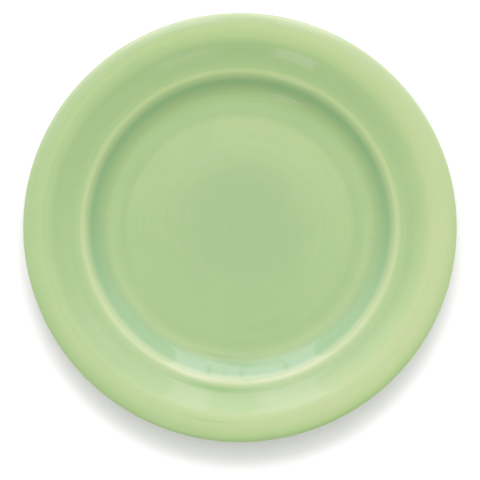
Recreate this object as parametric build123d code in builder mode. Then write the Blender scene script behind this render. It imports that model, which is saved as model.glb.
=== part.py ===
"""China dinner plate: one jiggered clay body and the three coats of glaze fired onto it.

Millimetres, +Z up. The origin is the centre of the foot ring's bearing face, so the plate
lies on the plane Z = 0 and every piece is turned about the Z axis. Each piece is drawn as a
section of (radius, height) points on Plane.XZ, from the middle of the plate outwards.
"""

import os

from build123d import *

# Driving dimensions of the glazed plate
plate_radius = 140.0  # an 11 inch dinner plate, 280 mm across the lip
plate_height = 23.2  # table to the crest of the rim
well_depth = 9.6  # shoulder to the floor of the well
rim_rise = 5.4  # shoulder to the crest of the rim
lip_drop = 2.8  # crest of the rim down to its outermost edge
shoulder_slope = 0.14  # the rim leaves the shoulder at this slope, so the wall ends with it

# Control radii of the two S-shaped curves of the eating face. The flat floor turns up gently
# into the wall of the well, the wall eases off at the shoulder, and the rim rises from there
# to its crest, where it is level.
wall_radii = [81.5, 88.5, 93.0, 97.0, 100.8, 104.5]
rim_radii = [104.5, 109.0, 114.5, 121.0, 127.0, 131.0]
floor_radius = wall_radii[0]
shoulder_radius = wall_radii[-1]
crest_radius = rim_radii[-1]

# Underside of the glazed plate
lip_underside_radius = 133.0
lip_underside_height = 19.1
rim_underside_radius = 105.5  # where the rim's underside meets the back of the wall
rim_underside_height = 13.8
heel_radius = 87.0  # where the back of the wall runs into the foot ring
heel_height = 4.2

# Foot ring, bare clay where it touches the table
foot_outer_radius = 84.0
foot_inner_radius = 79.2
foot_taper = 0.7  # each flank leans by this much over the ring's height
foot_edge_round = 1.0
foot_root_round = 1.2
recess_height = 2.8  # table to the glazed ceiling inside the foot ring
glaze_line_height = 1.4  # the glaze is wiped off the foot ring below this

# Thickness of the glaze, which runs thin over edges and pools where the wall meets the floor
floor_coat = 0.45
wall_coat_shift = 0.55  # how far the clay wall stands outside the glazed wall, along the radius
shoulder_coat = 0.25
crest_coat = 0.35
lip_coat = 0.30
back_coat = 0.35

# Shape of the rounded lip, as shares of its width and height
lip_width_share = 0.6
lip_height_share = 0.8

floor_height = plate_height - rim_rise - well_depth
shoulder_height = plate_height - rim_rise
edge_height = plate_height - lip_drop

glazed_front = [
    (0, floor_height),
    (floor_radius, floor_height),
    (shoulder_radius, shoulder_height),
    (crest_radius, plate_height),
    (plate_radius, edge_height),
]
clay_front = [
    (0, floor_height - floor_coat),
    (floor_radius + wall_coat_shift, floor_height - floor_coat),
    (shoulder_radius + wall_coat_shift, shoulder_height - shoulder_coat),
    (crest_radius, plate_height - crest_coat),
    (plate_radius - lip_coat, edge_height),
]
glazed_back = [
    (plate_radius, edge_height),
    (lip_underside_radius, lip_underside_height),
    (rim_underside_radius, rim_underside_height),
    (heel_radius, heel_height),
]
clay_back = [
    (plate_radius - lip_coat, edge_height),
    (lip_underside_radius, lip_underside_height + back_coat),
    (rim_underside_radius - back_coat, rim_underside_height + back_coat),
    (heel_radius - back_coat, heel_height + back_coat),
]
clay_wall_radii = [radius + wall_coat_shift for radius in wall_radii]
clay_rim_radii = [clay_wall_radii[-1]] + rim_radii[1:]
clay_ceiling_height = recess_height + back_coat
clay_heel_height = heel_height + back_coat


def even_radii(start, end):
    """Six control radii in even steps from one radius to another."""
    steps = 5
    return [start + (end - start) * i / steps for i in range(steps + 1)]


def s_curve(radii, start_height, end_height, start_slope=0, end_slope=0):
    """Adds a quintic Bezier that has a given slope, and no curvature, at each of its ends."""
    heights = [start_height + start_slope * (radius - radii[0]) for radius in radii[:3]]
    heights += [end_height + end_slope * (radius - radii[-1]) for radius in radii[3:]]
    Bezier(*zip(radii, heights))


def lip_curve(level, edge):
    """Adds a quarter round from a level point of the rim to its upright outermost edge."""
    (r0, z0), (r1, z1) = level, edge
    Bezier(
        (r0, z0),
        (r0 + lip_width_share * (r1 - r0), z0),
        (r1, z1 + lip_height_share * (z0 - z1)),
        (r1, z1),
    )


def front_line(points, wall, rim):
    """Adds the eating face: flat floor, wall and rim by their control radii, and upper lip."""
    middle, floor_edge, shoulder, crest, edge = points
    Line(middle, floor_edge)
    s_curve(wall, floor_edge[1], shoulder[1], end_slope=shoulder_slope)
    s_curve(rim, shoulder[1], crest[1], start_slope=shoulder_slope)
    lip_curve(crest, edge)


def back_line(points):
    """Adds the underside: lower half of the lip, back of the rim and back of the wall."""
    edge, lip_underside, rim_underside, heel = points
    lip_curve(lip_underside, edge)
    rim = even_radii(rim_underside[0], lip_underside[0])
    s_curve(rim, rim_underside[1], lip_underside[1], start_slope=shoulder_slope)
    wall = even_radii(heel[0], rim_underside[0])
    s_curve(wall, heel[1], rim_underside[1], end_slope=shoulder_slope)


def outer_flank_radius(height):
    """Radius of the foot ring's outer clay flank, which leans outwards as it rises."""
    return foot_outer_radius + foot_taper * height / clay_heel_height


def inner_flank_radius(height):
    """Radius of the foot ring's inner clay flank, which leans inwards as it rises."""
    return foot_inner_radius - foot_taper * height / clay_ceiling_height


# Clay body: the fired plate itself, with its foot ring turned in one with it
with BuildPart() as clay_body:
    with BuildSketch(Plane.XZ):
        with BuildLine():
            front_line(clay_front, clay_wall_radii, clay_rim_radii)
            back_line(clay_back)
            FilletPolyline(
                clay_back[-1],
                (outer_flank_radius(clay_heel_height), clay_heel_height),
                (foot_outer_radius, 0),
                (foot_inner_radius, 0),
                (inner_flank_radius(clay_ceiling_height), clay_ceiling_height),
                (0, clay_ceiling_height),
                radius=[foot_root_round, foot_edge_round, foot_edge_round, foot_root_round],
            )
            Line((0, clay_ceiling_height), clay_front[0])
        make_face()
    revolve(axis=Axis.Z)

# Front glaze: the coloured coat on the eating face, out to the edge of the lip
with BuildPart() as front_glaze:
    with BuildSketch(Plane.XZ):
        with BuildLine():
            front_line(glazed_front, wall_radii, rim_radii)
            front_line(clay_front, clay_wall_radii, clay_rim_radii)
            Line(glazed_front[0], clay_front[0])
            Line(glazed_front[-1], clay_front[-1])
        make_face()
    revolve(axis=Axis.Z)

# Back glaze: the coat from the edge of the lip down to the wiped line on the foot ring
with BuildPart() as back_glaze:
    with BuildSketch(Plane.XZ):
        with BuildLine():
            clay_line_end = (outer_flank_radius(glaze_line_height), glaze_line_height)
            glazed_line_end = (clay_line_end[0] + back_coat, glaze_line_height)
            back_line(glazed_back)
            FilletPolyline(
                glazed_back[-1],
                (outer_flank_radius(heel_height) + back_coat, heel_height),
                glazed_line_end,
                radius=foot_root_round - back_coat,
            )
            back_line(clay_back)
            FilletPolyline(
                clay_back[-1],
                (outer_flank_radius(clay_heel_height), clay_heel_height),
                clay_line_end,
                radius=foot_root_round,
            )
            Line(glazed_back[0], clay_back[0])
            Line(glazed_line_end, clay_line_end)
        make_face()
    revolve(axis=Axis.Z)

# Recess glaze: the coat inside the foot ring, from the wiped line to the middle
with BuildPart() as recess_glaze:
    with BuildSketch(Plane.XZ):
        with BuildLine():
            clay_line_end = (inner_flank_radius(glaze_line_height), glaze_line_height)
            glazed_line_end = (clay_line_end[0] - back_coat, glaze_line_height)
            FilletPolyline(
                (0, recess_height),
                (inner_flank_radius(recess_height) - back_coat, recess_height),
                glazed_line_end,
                radius=foot_root_round - back_coat,
            )
            FilletPolyline(
                (0, clay_ceiling_height),
                (inner_flank_radius(clay_ceiling_height), clay_ceiling_height),
                clay_line_end,
                radius=foot_root_round,
            )
            Line((0, recess_height), (0, clay_ceiling_height))
            Line(glazed_line_end, clay_line_end)
        make_face()
    revolve(axis=Axis.Z)

pieces = {
    "clay_body": clay_body,
    "front_glaze": front_glaze,
    "back_glaze": back_glaze,
    "recess_glaze": recess_glaze,
}
os.makedirs("parts", exist_ok=True)
for name, piece in pieces.items():
    piece.part.label = name
    export_step(piece.part, f"parts/{name}.step")
    print(name, "volume", round(piece.part.volume), "mm3")
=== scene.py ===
import math

import bpy
import numpy as np
from mathutils import Matrix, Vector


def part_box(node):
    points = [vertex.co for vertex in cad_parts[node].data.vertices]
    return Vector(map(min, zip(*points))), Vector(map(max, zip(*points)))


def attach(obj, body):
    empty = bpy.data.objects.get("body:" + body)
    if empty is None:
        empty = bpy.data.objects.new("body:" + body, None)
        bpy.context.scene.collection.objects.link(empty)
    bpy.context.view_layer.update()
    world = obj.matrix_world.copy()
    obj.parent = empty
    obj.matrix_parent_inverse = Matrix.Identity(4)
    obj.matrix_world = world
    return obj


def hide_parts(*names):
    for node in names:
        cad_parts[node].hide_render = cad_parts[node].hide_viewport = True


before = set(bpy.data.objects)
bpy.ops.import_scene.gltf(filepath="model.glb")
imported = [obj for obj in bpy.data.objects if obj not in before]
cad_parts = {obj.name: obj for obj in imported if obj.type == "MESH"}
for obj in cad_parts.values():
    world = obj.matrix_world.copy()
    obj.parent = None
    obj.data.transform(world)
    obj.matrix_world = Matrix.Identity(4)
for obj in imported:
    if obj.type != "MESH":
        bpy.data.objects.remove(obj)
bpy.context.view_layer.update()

# ---------------------------------------------------------------------------------------
# Clay body: the fired plate under its glaze, jiggered over a mould from buff stoneware
# china, with the foot ring turned in one with it. Only the foot's bearing edge stays bare,
# because glaze is wiped off where the plate stands in the kiln.
mm = 0.001

lip_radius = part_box("front_glaze")[1].x
crest_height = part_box("front_glaze")[1].z
rim_rise = 5.4 * mm
well_depth = 9.6 * mm
lip_drop = 2.8 * mm
shoulder_slope = 0.14
lip_width_share = 0.6
lip_height_share = 0.8

wall_radii = np.array([81.5, 88.5, 93, 97, 100.8, 104.5]) * mm
rim_radii = np.array([104.5, 109, 114.5, 121, 127, 131]) * mm
floor_radius = wall_radii[0]
shoulder_radius = wall_radii[-1]
crest_radius = rim_radii[-1]
shoulder_height = crest_height - rim_rise
floor_height = shoulder_height - well_depth
edge_height = crest_height - lip_drop

lip_underside = (133 * mm, 19.1 * mm)
rim_underside = (105.5 * mm, 13.8 * mm)
heel = (87 * mm, 4.2 * mm)
foot_outer_radius = 84 * mm
foot_inner_radius = 79.2 * mm
foot_taper = 0.7 * mm
root_round = 1.2 * mm
toe_round = 1.0 * mm
recess_height = 2.8 * mm
glaze_line_height = 1.4 * mm
lip_coat = 0.30 * mm
back_coat = 0.35 * mm
ceiling_height = recess_height + back_coat

# Vertices round every ring, and how much finer a glazed face is than the clay under it
columns = 384
finer = 4


def line(start, end, steps):
    """Evenly spaced points on a straight run."""
    return np.linspace(start, end, steps + 1)


def bezier(points, steps):
    """Points of a Bezier curve: its control points weighted by Bernstein polynomials of t."""
    points = np.asarray(points, float)
    degree = len(points) - 1
    k = np.arange(degree + 1)
    choose = np.array([math.comb(degree, i) for i in k])
    t = np.linspace(0, 1, steps + 1)[:, None]
    return (choose * t**k * (1 - t) ** (degree - k)) @ points


def s_curve(radii, start_height, end_height, steps, start_slope=0, end_slope=0):
    """A quintic Bezier: its first three control points lie on a line of the start's slope,
    and its last three on a line of the end's."""
    heights = np.concatenate([
        start_height + start_slope * (radii[:3] - radii[0]),
        end_height + end_slope * (radii[3:] - radii[-1]),
    ])
    return bezier(np.stack([radii, heights], 1), steps)


def lip_curve(level, edge, steps):
    """A quarter round from a level point of the rim to the lip's upright outermost edge: a
    cubic Bezier that leaves level, and arrives upright."""
    (r0, z0), (r1, z1) = level, edge
    above = (r0 + lip_width_share * (r1 - r0), z0)
    beside = (r1, z1 + lip_height_share * (z0 - z1))
    return bezier([level, above, beside, edge], steps)


def rounded(before, corner, after, radius, steps):
    """The arc that rounds a corner, between the points where it touches the two sides. Each
    point blends the two end radii by the sines of the angles left to sweep and swept."""
    corner = np.asarray(corner, float)
    a = np.asarray(before, float) - corner
    b = np.asarray(after, float) - corner
    a, b = a / np.linalg.norm(a), b / np.linalg.norm(b)
    half = math.acos(np.clip(a @ b, -1, 1)) / 2
    centre = corner + (a + b) / np.linalg.norm(a + b) * radius / math.sin(half)
    start = corner + a * radius / math.tan(half) - centre
    end = corner + b * radius / math.tan(half) - centre
    sweep = math.pi - 2 * half
    t = np.linspace(0, 1, steps + 1)[:, None]
    return centre + (np.sin((1 - t) * sweep) * start + np.sin(t * sweep) * end) / math.sin(sweep)


def join(*stretches):
    """Stretches of a section end to end, without the points that they share."""
    return np.concatenate([stretches[0]] + [stretch[1:] for stretch in stretches[1:]])


def normals(section):
    """Unit normals of a section, a quarter turn to the left of its direction of travel."""
    along = np.gradient(section, axis=0)
    leftward = np.stack([-along[:, 1], along[:, 0]], 1)
    return leftward / np.linalg.norm(leftward, axis=1)[:, None]


def eased(at, pairs):
    """Pairs of a place and a value, joined by smoothsteps: t * t * (3 - 2 t) of the way from
    one value to the next."""
    places, values = np.array(pairs, float).T
    low = np.clip(np.searchsorted(places, at, side="right") - 1, 0, len(places) - 2)
    t = np.clip((at - places[low]) / (places[low + 1] - places[low]), 0, 1)
    return values[low] + (values[low + 1] - values[low]) * t * t * (3 - 2 * t)


def warp(xyz):
    """Heights off a true circle, as the firing leaves them: an oval and a three-cornered wave,
    cosines of two and three times the angle, that grow as the square of the way to the lip."""
    oval, three_cornered = 0.16 * mm, 0.07 * mm
    angle = np.arctan2(xyz[..., 1], xyz[..., 0])
    beyond = np.hypot(xyz[..., 0], xyz[..., 1]) - shoulder_radius
    share = np.clip(beyond / (lip_radius - shoulder_radius), 0, 1)
    wave = oval * np.cos(2 * angle + 0.7) + three_cornered * np.cos(3 * angle - 1.9)
    return share**2 * wave


def turned(name, section, closed, sharp=(), move=None):
    """A body of revolution: the point (r, z) of the section at angle a is (r cos a, r sin a, z).
    Sections that begin and end on the axis get one vertex at each pole. The rings counted in
    sharp are creases."""
    poles = 0 if closed else 1
    rings = section[poles:len(section) - poles]
    angle = np.arange(columns) * 2 * math.pi / columns
    xyz = np.empty((len(rings), columns, 3))
    xyz[..., 0] = rings[:, None, 0] * np.cos(angle)
    xyz[..., 1] = rings[:, None, 0] * np.sin(angle)
    xyz[..., 2] = rings[:, None, 1]
    if move is not None:
        xyz = move(xyz)
    xyz[..., 2] += warp(xyz)
    index = np.arange(len(rings) * columns).reshape(len(rings), columns)
    this_ring, next_ring = (index, np.roll(index, -1, 0)) if closed else (index[:-1], index[1:])
    quads = [this_ring, next_ring, np.roll(next_ring, -1, 1), np.roll(this_ring, -1, 1)]
    points, faces = xyz.reshape(-1, 3), np.stack(quads, -1).reshape(-1, 4).tolist()
    if poles:
        first_pole, last_pole = len(points), len(points) + 1
        points = np.vstack([points, [(0, 0, section[0, 1]), (0, 0, section[-1, 1])]])
        first, last = index[0], index[-1]
        faces += np.stack([np.full(columns, first_pole), first, np.roll(first, -1)], 1).tolist()
        faces += np.stack([np.full(columns, last_pole), np.roll(last, -1), last], 1).tolist()
    mesh = bpy.data.meshes.new(name)
    mesh.from_pydata(points, [], faces)
    mesh.polygons.foreach_set("use_smooth", np.ones(len(faces), bool))
    ends = np.empty(len(mesh.edges) * 2, np.int32)
    mesh.edges.foreach_get("vertices", ends)
    ring = ends.reshape(-1, 2) // columns + poles
    crease = mesh.attributes.new("sharp_edge", "BOOLEAN", "EDGE")
    crease.data.foreach_set("value", (ring[:, 0] == ring[:, 1]) & np.isin(ring[:, 0], sharp))
    piece = bpy.data.objects.new(name, mesh)
    bpy.context.scene.collection.objects.link(piece)
    return piece


def glazed_front(fineness):
    """The eating face from the middle to the lip's edge: floor, wall, rim and rounded lip."""
    floor_steps, wall_steps, rim_steps, lip_steps = (fineness * n for n in (17, 13, 10, 8))
    return join(
        line((0, floor_height), (floor_radius, floor_height), floor_steps),
        s_curve(wall_radii, floor_height, shoulder_height, wall_steps, end_slope=shoulder_slope),
        s_curve(rim_radii, shoulder_height, crest_height, rim_steps, start_slope=shoulder_slope),
        lip_curve((crest_radius, crest_height), (lip_radius, edge_height), lip_steps),
    )


def front_coat(r):
    """Thickness of the front glaze by radius, both in millimetres: even on the floor, pooled
    in its groove and on the wall, thin over the shoulder, thinner towards the crest."""
    on_floor = [(0, 0.53), (14, 0.54), (60, 0.44), (72, 0.428)]
    on_wall = [(76, 0.48), (84, 0.415), (90.5, 0.57), (96, 0.67), (99.2, 0.42)]
    on_shoulder = [(101.7, 0.225)]
    on_rim = [(104.8, 0.435), (109, 0.48), (118, 0.445), (125, 0.33), (131, 0.32), (140, 0.39)]
    return eased(r / mm, on_floor + on_wall + on_shoulder + on_rim)


def clay_front(fineness):
    """The clay under the front glaze: the glazed face, lowered along its normals by the coat."""
    face = glazed_front(fineness)
    return face - normals(face) * front_coat(face[:, 0])[:, None] * mm


def flank(radius, lean, top, height):
    """The point at a height on one of the foot ring's leaning clay flanks: the lean grows
    evenly with the height, up to its whole at the top."""
    return (radius + lean * height / top, height)


clay_heel = (heel[0] - back_coat, heel[1] + back_coat)
outer_root = flank(foot_outer_radius, foot_taper, clay_heel[1], clay_heel[1])
inner_root = flank(foot_inner_radius, -foot_taper, ceiling_height, ceiling_height)
outer_line = flank(foot_outer_radius, foot_taper, clay_heel[1], glaze_line_height)
inner_line = flank(foot_inner_radius, -foot_taper, ceiling_height, glaze_line_height)
outer_toe = (foot_outer_radius, 0)
inner_toe = (foot_inner_radius, 0)


def clay_back(fineness):
    """The clay from the lip's edge down the underside to the glaze line on the foot ring."""
    lip = (lip_radius - lip_coat, edge_height)
    under_lip = (lip_underside[0], lip_underside[1] + back_coat)
    under_rim = (rim_underside[0] - back_coat, rim_underside[1] + back_coat)
    radii_out = np.linspace(under_rim[0], under_lip[0], len(rim_radii))
    radii_up = np.linspace(clay_heel[0], under_rim[0], len(wall_radii))
    lip_steps, rim_steps, wall_steps, root_steps = (fineness * n for n in (6, 8, 8, 2))
    root = rounded(clay_heel, outer_root, outer_line, root_round, root_steps)
    back_of_rim = s_curve(
        radii_out, under_rim[1], under_lip[1], rim_steps, start_slope=shoulder_slope
    )
    back_of_wall = s_curve(
        radii_up, clay_heel[1], under_rim[1], wall_steps, end_slope=shoulder_slope
    )
    return join(
        lip_curve(under_lip, lip, lip_steps)[::-1],
        back_of_rim[::-1],
        back_of_wall[::-1],
        line(clay_heel, root[0], fineness),
        root,
        line(root[-1], outer_line, root_steps),
    )


def clay_recess(fineness):
    """The clay inside the foot ring, from the glaze line up its flank and across to the middle."""
    middle = (0, ceiling_height)
    root_steps, ceiling_steps = 2 * fineness, 12 * fineness
    root = rounded(inner_line, inner_root, middle, root_round, root_steps)
    return join(
        line(inner_line, root[0], root_steps),
        root,
        line(root[-1], middle, ceiling_steps),
    )


flank_steps, toe_steps = 3, 6
outer_round = rounded(outer_line, outer_toe, inner_toe, toe_round, toe_steps)
inner_round = rounded(outer_toe, inner_toe, inner_line, toe_round, toe_steps)
bare_foot = join(
    line(outer_line, outer_round[0], flank_steps),
    outer_round,
    line(outer_round[-1], inner_round[0], toe_steps),
    inner_round,
    line(inner_round[-1], inner_line, flank_steps),
)
clay_body = turned(
    "clay_body_fired",
    join(clay_front(1), clay_back(1), bare_foot, clay_recess(1)),
    closed=False,
)


def new_material(name):
    """A material with its node tree, its shader and the piece's own coordinates."""
    made = bpy.data.materials.new(name)
    made.use_nodes = True
    tree = made.node_tree
    place = tree.nodes.new("ShaderNodeTexCoord").outputs["Object"]
    return made, tree, tree.nodes["Principled BSDF"], place


def coordinates(tree, place):
    """The X, Y and Z of a place or a direction."""
    parts = tree.nodes.new("ShaderNodeSeparateXYZ")
    tree.links.new(place, parts.inputs["Vector"])
    return parts.outputs


def noise(tree, place, size, detail):
    """Soft noise from 0 to 1, with lumps of one size in metres and some octaves of detail."""
    lumps = tree.nodes.new("ShaderNodeTexNoise")
    lumps.inputs["Scale"].default_value = 1 / size
    lumps.inputs["Detail"].default_value = detail
    tree.links.new(place, lumps.inputs["Vector"])
    return lumps.outputs["Fac"]


def remap(tree, value, before, after, curve="LINEAR"):
    """A value's range turned into another one, clamped at both ends."""
    step = tree.nodes.new("ShaderNodeMapRange")
    step.interpolation_type = curve
    step.inputs["From Min"].default_value, step.inputs["From Max"].default_value = before
    step.inputs["To Min"].default_value, step.inputs["To Max"].default_value = after
    tree.links.new(value, step.inputs["Value"])
    return step.outputs["Result"]


def ramp(tree, value, stops):
    """Colours at places from 0 to 1, with straight blends between them."""
    step = tree.nodes.new("ShaderNodeValToRGB")
    elements = step.color_ramp.elements
    while len(elements) < len(stops):
        elements.new(0.5)
    for element, (position, colour) in zip(elements, stops):
        element.position = position
        element.color = (*colour, 1)
    tree.links.new(value, step.inputs["Fac"])
    return step.outputs["Color"]


def mixed(tree, share, under, colour, blend="MIX"):
    """A colour laid over another by a share. When it multiplies, the share may pass 0 and 1."""
    step = tree.nodes.new("ShaderNodeMix")
    step.data_type = "RGBA"
    step.blend_type = blend
    step.clamp_factor = blend == "MIX"
    step.inputs["B"].default_value = (*colour, 1)
    tree.links.new(share, step.inputs["Factor"])
    tree.links.new(under, step.inputs["A"])
    return step.outputs["Result"]


def specked(tree, place, cell, reach, share, under, colour):
    """Specks of a colour: one in each Voronoi cell, fading over a reach from its middle."""
    cells = tree.nodes.new("ShaderNodeTexVoronoi")
    cells.inputs["Scale"].default_value = 1 / cell
    tree.links.new(place, cells.inputs["Vector"])
    return mixed(tree, remap(tree, cells.outputs["Distance"], reach, (share, 0)), under, colour)


def bump(tree, shader, height, distance):
    """Lets the shader see a height's slopes, as if it stood out by a distance."""
    step = tree.nodes.new("ShaderNodeBump")
    step.inputs["Distance"].default_value = distance
    tree.links.new(height, step.inputs["Height"])
    tree.links.new(step.outputs["Normal"], shader.inputs["Normal"])


def bare_clay():
    """Buff fired clay: sandy grain, dark iron specks, toasted where it meets the glaze."""
    sand, pale_sand = (0.46, 0.37, 0.26), (0.70, 0.62, 0.49)
    iron, toast = (0.16, 0.10, 0.06), (0.42, 0.26, 0.13)
    made, tree, shader, place = new_material("bare_clay")
    shader.inputs["Roughness"].default_value = 0.85
    grain = noise(tree, place, size=mm / 1.4, detail=4)
    tone = ramp(tree, grain, [(0.3, sand), (0.65, pale_sand)])
    tone = specked(tree, place, mm / 0.42, reach=(0.08, 0.16), share=0.55, under=tone, colour=iron)
    height = coordinates(tree, place)["Z"]
    near_glaze = remap(tree, height, before=(0.4 * mm, glaze_line_height), after=(0, 0.6))
    tree.links.new(mixed(tree, near_glaze, tone, toast), shader.inputs["Base Color"])
    bump(tree, shader, grain, distance=0.04 * mm)
    return made


clay_body.data.materials.append(bare_clay())
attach(clay_body, "root")
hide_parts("clay_body")

# ---------------------------------------------------------------------------------------
# Front glaze: a glassy celadon coat brushed and sprayed on as the plate turned, and fired.
# It is thickest, and bluest, where it pools on the wall and in the floor's groove, and
# breaks cream where it runs thin over the shoulder and the lip. Its colour also holds
# painted light: a painted reflection on the far floor, a painted highlight and sheen on the
# far lip and the near wall and rim, and painted shade on the near wall, the far shoulder,
# the near lip and in short dark bands on the near and far sides.


def ripple(xyz):
    """Faint rings that the jiggering tool leaves: sines of the radius. Each has a height in
    microns, a radius in millimetres for one radian, and a phase that drifts as the sine of
    the angle, or of twice the angle."""
    r = np.hypot(xyz[..., 0], xyz[..., 1])
    angle = np.arctan2(xyz[..., 1], xyz[..., 0])
    waves = sum(
        rise * np.sin(r / (pitch * mm) + drift * np.sin(times * angle + start))
        for rise, pitch, drift, times, start in (
            (4.0, 1.45, 0.9, 1, 0.4),
            (7.0, 2.6, 1.3, 2, 1.1),
            (16.0, 5.7, 0.8, 1, -2.0),
        )
    )
    micron = 0.001 * mm
    xyz[..., 2] += waves * micron
    return xyz


def polar(piece):
    """Every vertex's radius and angle about the plate's axis."""
    xyz = np.empty(len(piece.data.vertices) * 3, np.float32)
    piece.data.vertices.foreach_get("co", xyz)
    x, y, _ = xyz.reshape(-1, 3).T
    return np.hypot(x, y), np.arctan2(y, x)


def store(piece, name, values):
    """Keeps one number for every vertex of a piece, for its material to read."""
    attribute = piece.data.attributes.new(name, "FLOAT", "POINT")
    attribute.data.foreach_set("value", values.astype(np.float32))


def painted_shade_bands(r, angle):
    """Painted shade: short dark bands on the near and far sides, where the gloss shows dark
    lines beside the reflections, in millimetres of extra coat. Each is a bell curve across an
    arc, at a radius and with a width, times one along it, at an angle and with a length."""
    return sum(
        depth * np.exp(-(((r / mm - at) / width) ** 2) - ((angle - turn) / length) ** 2)
        for at, width, turn, length, depth in (
            (107.0, 1.8, -1.70, 0.19, 0.20),
            (84.8, 0.7, -1.71, 0.13, 0.11),
            (128.0, 0.6, -1.72, 0.14, 0.12),
            (135.6, 0.6, 1.48, 0.22, 0.07),
            (115.0, 1.0, 1.57, 0.12, 0.05),
        )
    )


def coat_and_painted_light(r, angle):
    """Thickness in millimetres of the front coat all round, which also carries painted light.
    To the coat by radius it adds the painted shade bands, and swings with the sine or cosine
    of the angle: thinner, so lighter, on the far half of the floor, a painted reflection;
    thinner on the far half of the wall and thicker on its near half, painted shade on the lit
    near wall; thinner on the near half of the shoulder and thicker on the far, painted shade
    on the far shoulder; thinner on the far lip, a painted highlight, and thicker on the near
    lip, painted shade; thinner on the right of the crest; and in a fine line, a bell curve
    across, on the crest's left."""
    # Swings by side that paint light and shade: a painted reflection on the far floor, painted
    # shade on the near wall and far shoulder, a painted highlight on the far lip and painted shade
    # on the near lip.
    far_floor_painted_reflection = eased(r / mm, [(30, 0), (62, 0.045), (70, 0.055), (77, 0.01)])
    wall_and_shoulder_painted_shade = eased(r / mm, [
        (78, 0), (84, 0.03), (90, -0.09), (98, 0.02), (101, 0.03),
        (104.5, 0.045), (112, 0.022), (120, 0.01), (126, 0),
    ])
    crest_swing = eased(r / mm, [(110, 0), (124, 0.09), (132, 0.09), (140, 0.03)])
    lip_painted_light = eased(r / mm, [(118, 0), (126, 0.015), (137, 0.035), (140, 0.06)])
    line_depth, line_radius, line_width = 0.05, 129, 1.1
    fine_line = line_depth * np.exp(-(((r / mm - line_radius) / line_width) ** 2))
    return (
        front_coat(r)
        + painted_shade_bands(r, angle)
        - far_floor_painted_reflection * np.sin(angle + 0.25)
        + (wall_and_shoulder_painted_shade - lip_painted_light) * np.sin(angle)
        - crest_swing * np.cos(angle + 0.5)
        - fine_line * (0.5 - 0.5 * np.cos(angle + 0.3))
    )


def milk_and_painted_sheen(r, angle):
    """How bluish and milky the front coat is: a value by radius, plus a painted sheen that goes
    with the sine of the angle, less the painted shade bands. It is most in the middle, on the
    near wall and rim, and on the far lip; on the near wall and rim and on the far lip it is a
    painted reflection of the softboxes, whiter and bluer."""
    by_radius = eased(r / mm, [
        (0, 0.8), (30, 0.6), (50, 0.5), (72, 0.2), (76, 0), (82, 0.3), (90, -0.1),
        (97, 0.4), (102, 0.4), (108, 0), (118, 0.1), (128, 0.1), (140, 0.5),
    ])
    # The part by side is a painted sheen: the softboxes' reflections painted whiter and bluer on
    # the near wall and rim and on the far lip, and taken away on the far wall.
    painted_sheen_by_side = eased(r / mm, [
        (30, 0), (56, 0.4), (68, 0.4), (76, 0), (90, -1.2), (100, -1.4),
        (110, -0.7), (120, -0.9), (130, -0.4), (138, 1.5),
    ])
    shade_bands_clear = 10
    return by_radius + painted_sheen_by_side * np.sin(angle) - shade_bands_clear * painted_shade_bands(r, angle)


face = glazed_front(finer)
under_face = clay_front(1)[::-1]
front_glaze = turned(
    "front_glaze_coat",
    np.concatenate([face, under_face]),
    closed=False,
    sharp=(len(face) - 1, len(face)),
    move=ripple,
)
front_radius, front_angle = polar(front_glaze)
# The stored coat and milk of the front glaze hold painted light besides the glaze's own pooling:
# painted reflection, highlight, sheen and shade by side, and dark painted-shade bands.
store(front_glaze, "coat", coat_and_painted_light(front_radius, front_angle))
store(front_glaze, "milk", milk_and_painted_sheen(front_radius, front_angle))


def calculate(tree, operation, a, b):
    """One arithmetic step between two sockets or numbers."""
    step = tree.nodes.new("ShaderNodeMath")
    step.operation = operation
    for socket, value in zip(step.inputs, (a, b)):
        if isinstance(value, (int, float)):
            socket.default_value = value
        else:
            tree.links.new(value, socket)
    return step.outputs["Value"]


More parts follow.
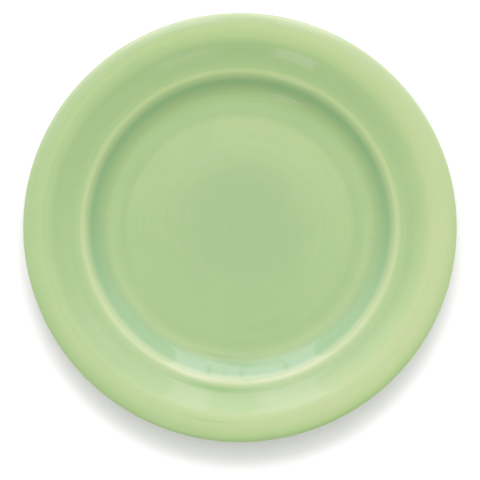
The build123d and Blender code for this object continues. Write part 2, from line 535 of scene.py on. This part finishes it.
def glaze(name, streaks, shade):
    """Celadon glaze. Its colour is a ramp of the coat's thickness plus the noises of rings,
    mottling and grain. Where it is milky, more or less by a cloud noise, that is multiplied by
    a bluer tint. Fine ash specks lie on it, and the mottling and rings vary its gloss."""
    colours_by_thickness = [
        (0.14, (0.430, 0.512, 0.268)),
        (0.20, (0.395, 0.484, 0.243)),
        (0.30, (0.361, 0.465, 0.214)),
        (0.36, (0.337, 0.457, 0.205)),
        (0.42, (0.306, 0.437, 0.195)),
        (0.48, (0.284, 0.409, 0.184)),
        (0.54, (0.266, 0.396, 0.177)),
        (0.62, (0.231, 0.380, 0.168)),
        (0.70, (0.200, 0.365, 0.158)),
    ]
    milky, ash = (1.03, 1.0, 1.09), (0.16, 0.15, 0.06)
    made, tree, shader, place = new_material(name)
    shader.inputs["IOR"].default_value = 1.5
    x, y, _ = coordinates(tree, place)
    flat = tree.nodes.new("ShaderNodeCombineXYZ")
    tree.links.new(x, flat.inputs["X"])
    tree.links.new(y, flat.inputs["Y"])
    from_axis = tree.nodes.new("ShaderNodeVectorMath")
    from_axis.operation = "LENGTH"
    tree.links.new(flat.outputs["Vector"], from_axis.inputs[0])
    r = from_axis.outputs["Value"]
    beyond_middle = calculate(tree, "ADD", r, 12 * mm)

    def stored(kept_name):
        """A number that the mesh keeps for every vertex."""
        attribute = tree.nodes.new("ShaderNodeAttribute")
        attribute.attribute_name = kept_name
        return attribute.outputs["Fac"]

    def centred(value):
        """Noise moved to lie about 0."""
        return calculate(tree, "SUBTRACT", value, 0.5)

    def streaked(spacing, changes, detail):
        """Noise drawn out into arcs: it is read at the radius over the ring spacing, and at
        the direction from the axis times the number of changes along an arc."""
        at = tree.nodes.new("ShaderNodeCombineXYZ")
        tree.links.new(calculate(tree, "DIVIDE", r, spacing), at.inputs["X"])
        for axis, along in (("Y", x), ("Z", y)):
            direction = calculate(tree, "DIVIDE", along, beyond_middle)
            tree.links.new(calculate(tree, "MULTIPLY", direction, changes), at.inputs[axis])
        return centred(noise(tree, at.outputs["Vector"], size=1, detail=detail))

    fine = streaked(spacing=1.3 * mm, changes=3.5, detail=3)
    broad = streaked(spacing=4.5 * mm, changes=1.2, detail=2)
    mottle = centred(noise(tree, place, size=24 * mm, detail=3))
    grain = centred(noise(tree, place, size=0.9 * mm, detail=1))
    # On the front glaze the stored coat also carries painted shade and highlights, so the
    # thickness ramp paints them.
    depth = stored("coat")
    for variation, strength in (
        (fine, 0.06 * streaks),
        (broad, 0.07 * streaks),
        (mottle, 0.07),
        (grain, 0.06),
    ):
        depth = calculate(tree, "ADD", depth, calculate(tree, "MULTIPLY", variation, strength))
    cloud = centred(noise(tree, place, size=9 * mm, detail=2))
    cloudiness = 1.2
    # On the front glaze the stored milk also carries a painted sheen of the reflections, which the
    # bluer tint paints.
    milk = calculate(tree, "ADD", stored("milk"), calculate(tree, "MULTIPLY", cloud, cloudiness))

    tone = ramp(tree, depth, [
        (thickness, [shade * part for part in colour])
        for thickness, colour in colours_by_thickness
    ])
    tone = mixed(tree, milk, tone, milky, "MULTIPLY")
    tone = specked(tree, place, 15 * mm, reach=(0.015, 0.03), share=0.35, under=tone, colour=ash)
    tree.links.new(tone, shader.inputs["Base Color"])
    roughness = remap(tree, mottle, before=(-0.3, 0.3), after=(0.04, 0.08))
    tree.links.new(roughness, shader.inputs["Roughness"])
    bump(tree, shader, fine, distance=0.01 * mm)
    return made


front_glaze.data.materials.append(glaze("celadon_front", streaks=1.0, shade=1.0))
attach(front_glaze, "root")
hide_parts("front_glaze")

# ---------------------------------------------------------------------------------------
# Back glaze: the same celadon poured over the underside. It meets the front coat at the
# lip's edge, and ends in a rounded bead where it was wiped off the foot ring.
bead = 0.5 * mm
lip_blend = 5 * mm
poured_extra = 0.04
back_streaks, back_shade, back_milk = 0.8, 0.97, 0.4


def beaded(section):
    """The share of an even coat left at each point: 1, and over the last bead's length of the
    section a quarter circle down to 0."""
    lengths = np.linalg.norm(np.diff(section, axis=0), axis=1)
    to_the_end = lengths.sum() - np.concatenate([[0], np.cumsum(lengths)])
    return np.sqrt(1 - (1 - np.clip(to_the_end / bead, 0, 1)) ** 2)


underside = clay_back(finer)
from_edge = np.clip((lip_radius - underside[:, 0]) / lip_blend, 0, 1)
back_depth = (lip_coat + (back_coat - lip_coat) * from_edge) * beaded(underside)
skin = underside + normals(underside) * back_depth[:, None]
back_inside = clay_back(1)[::-1]
back_glaze = turned(
    "back_glaze_coat",
    np.concatenate([skin[:-1], back_inside]),
    closed=True,
    sharp=(0, len(skin) - 1 + len(back_inside) - 1),
)
ring_depths = np.concatenate([back_depth[:-1], np.full(len(back_inside), back_coat)]) / mm
store(back_glaze, "coat", np.repeat(ring_depths, columns) + poured_extra)
store(back_glaze, "milk", np.full(len(back_glaze.data.vertices), back_milk))
back_glaze.data.materials.append(glaze("celadon_back", back_streaks, back_shade))
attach(back_glaze, "root")
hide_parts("back_glaze")

# ---------------------------------------------------------------------------------------
# Recess glaze: the coat inside the foot ring, poured in and swirled out before the foot
# was wiped. The bare bearing edge parts it from the back glaze.
recess_coat = [(0, 0.44), (40, 0.38), (70, 0.42), (77, 0.36)]

recess_clay = clay_recess(finer)
recess_depth = back_coat * beaded(recess_clay[::-1])[::-1]
ceiling = recess_clay + normals(recess_clay) * recess_depth[:, None]
recess_inside = clay_recess(1)[::-1]
recess_glaze = turned(
    "recess_glaze_coat",
    np.concatenate([recess_inside, ceiling[1:]]),
    closed=False,
)
recess_radius, _ = polar(recess_glaze)
store(recess_glaze, "coat", eased(recess_radius / mm, recess_coat))
store(recess_glaze, "milk", np.full(len(recess_radius), back_milk))
recess_glaze.data.materials.append(glaze("celadon_recess", back_streaks, back_shade))
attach(recess_glaze, "root")
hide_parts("recess_glaze")

# ---------------------------------------------------------------------------------------
# Floor: a plain white table top that the plate lies on, twelve metres across, so that its
# far edge stays out of sight.
half = 6
table_white = (0.92, 0.92, 0.92, 1)

corners = [(-half, -half, 0), (half, -half, 0), (half, half, 0), (-half, half, 0)]
floor_mesh = bpy.data.meshes.new("floor")
floor_mesh.from_pydata(corners, [], [(0, 1, 2, 3)])
floor = bpy.data.objects.new("floor", floor_mesh)
bpy.context.scene.collection.objects.link(floor)
table, _, table_shader, _ = new_material("white_table")
table_shader.inputs["Base Color"].default_value = table_white
table_shader.inputs["Roughness"].default_value = 0.9
floor_mesh.materials.append(table)

# ---------------------------------------------------------------------------------------
# Light: a white studio, brighter behind but not near table level, and a soft key lamp. The
# other softboxes show only in the gloss: behind, three right and three left of a narrow gap
# with a pair leaning over them, and three small ones in front.
lamp_distance = 4
key_radiance = 6
cold = (1.12, 0.88, 1.36)
white = (1, 1, 1)
studio_light = 0.96
glow = (1.44, 1.28, 1.42)


def softbox(name, azimuths, zeniths, radiance, tint, in_gloss_only=False):
    """A rectangular lamp of one tint that faces the plate, between two azimuths (degrees to
    the right of straight behind) and two zenith angles. Its power is pi times its radiance
    and area. In gloss only, it shows as a reflection and lights nothing else."""
    azimuth, zenith = np.radians(np.mean(azimuths)), np.radians(np.mean(zeniths))
    away = np.array([
        math.sin(zenith) * math.sin(azimuth),
        math.sin(zenith) * math.cos(azimuth),
        math.cos(zenith),
    ])
    side = np.array([math.cos(azimuth), -math.sin(azimuth), 0])
    stand = np.eye(4)
    stand[:3] = np.stack([side, np.cross(away, side), away, away * lamp_distance], 1)
    half_width = np.radians(np.ptp(azimuths)) * math.sin(zenith) / 2
    half_height = np.radians(np.ptp(zeniths)) / 2
    lamp = bpy.data.lights.new(name, "AREA")
    lamp.shape = "RECTANGLE"
    lamp.size = 2 * lamp_distance * math.tan(half_width)
    lamp.size_y = 2 * lamp_distance * math.tan(half_height)
    lamp.energy = radiance * math.pi * lamp.size * lamp.size_y
    lamp.color = tint
    box = bpy.data.objects.new(name, lamp)
    box.visible_diffuse = not in_gloss_only
    bpy.context.scene.collection.objects.link(box)
    box.matrix_world = Matrix(stand)
    return box


for lamp_name, azimuths, zeniths, radiance in (
    ("right_tall", (10, 23), (40, 82), 1.5),
    ("right_middle", (5, 10), (46, 82), 1.5),
    ("right_short", (0, 5), (56, 82), 1.5),
    ("left_tall", (-27, -15), (40, 82), 1.5),
    ("left_upper", (-15, -4), (38, 63), 1.0),
    ("left_lower", (-15, -0.8), (66, 82), 1.6),
    ("right_over", (7, 17), (25, 36.5), 1.0),
    ("left_over", (-20, -4), (25, 36.5), 1.0),
    ("front_right", (142, 167), (18.5, 23), 0.6),
    ("front_left", (-163, -145), (17.8, 23), 1.15),
    ("front_left_low", (-166, -147), (32, 45), 0.9),
):
    softbox(lamp_name, azimuths, zeniths, radiance, cold, in_gloss_only=True)
key = softbox("key", (-20, 20), (25, 40), key_radiance, white)
key.visible_glossy = False

world = bpy.data.worlds.new("studio")
world.use_nodes = True
studio = world.node_tree
_, backward, upward = coordinates(
    studio, studio.nodes.new("ShaderNodeTexCoord").outputs["Generated"]
)
behind = remap(studio, backward, before=(0.15, 0.75), after=(0, 1), curve="SMOOTHSTEP")
above_table = remap(studio, upward, before=(0, 0.14), after=(0, 1), curve="SMOOTHSTEP")
grey = studio.nodes.new("ShaderNodeRGB").outputs["Color"]
grey.default_value = (studio_light, studio_light, studio_light, 1)
share_lit = calculate(studio, "MULTIPLY", behind, above_table)
backdrop = [studio_light + extra for extra in glow]
surround = mixed(studio, share_lit, grey, backdrop)
studio.links.new(surround, studio.nodes["Background"].inputs["Color"])
bpy.context.scene.world = world
bpy.context.scene.view_settings.view_transform = "Standard"

# ---------------------------------------------------------------------------------------
# Camera: nearly over the plate, looking down at it from a little to the front, from far
# enough away that the rim hardly spreads.
tilt = math.radians(7.8)
camera_distance = 1.4
aim = (0, -0.0100, edge_height)
width_in_view = 0.3096
sensor_width = 36

camera = bpy.data.cameras.new("camera")
camera.sensor_width = sensor_width
camera.lens = sensor_width * camera_distance / width_in_view
camera.clip_start, camera.clip_end = 0.05, 50
viewer = bpy.data.objects.new("camera", camera)
bpy.context.scene.collection.objects.link(viewer)
viewer.location = (
    aim[0],
    aim[1] - camera_distance * math.sin(tilt),
    aim[2] + camera_distance * math.cos(tilt),
)
viewer.rotation_euler = (tilt, 0, 0)
bpy.context.scene.camera = viewer
